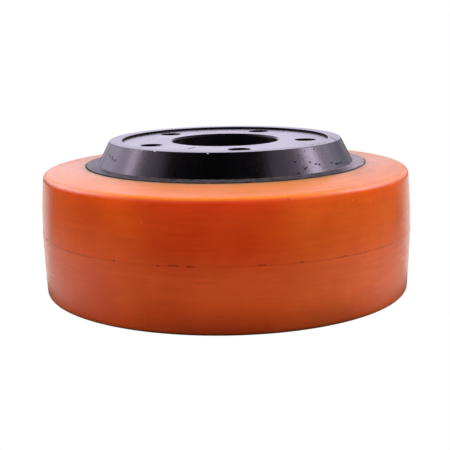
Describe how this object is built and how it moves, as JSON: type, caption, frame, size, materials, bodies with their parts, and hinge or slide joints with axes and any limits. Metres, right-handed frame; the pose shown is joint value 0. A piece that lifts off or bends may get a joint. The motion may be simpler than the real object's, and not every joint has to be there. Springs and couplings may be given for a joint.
{
  "type": "pallet truck drive wheel",
  "caption": "Bolt-on drive wheel of a pallet truck: a polyurethane tyre bonded to a dished iron hub with a coned nose, centre bore and bolt circle.",
  "frame": {"origin": "on the axle axis at the back end of the drum, which the wheel stands on", "axes": "+Z along the axle to the outer side where the bolts go in, +X through the first bolt hole"},
  "size_m": [0.23, 0.23, 0.098],
  "materials": {
    "hub": "semi-gloss black paint on turned iron",
    "tyre": "smooth orange polyurethane with a satin mould skin"
  },
  "bodies": {
    "root": {"hub": "hub", "tyre": "tyre"}
  },
  "joints": []
}
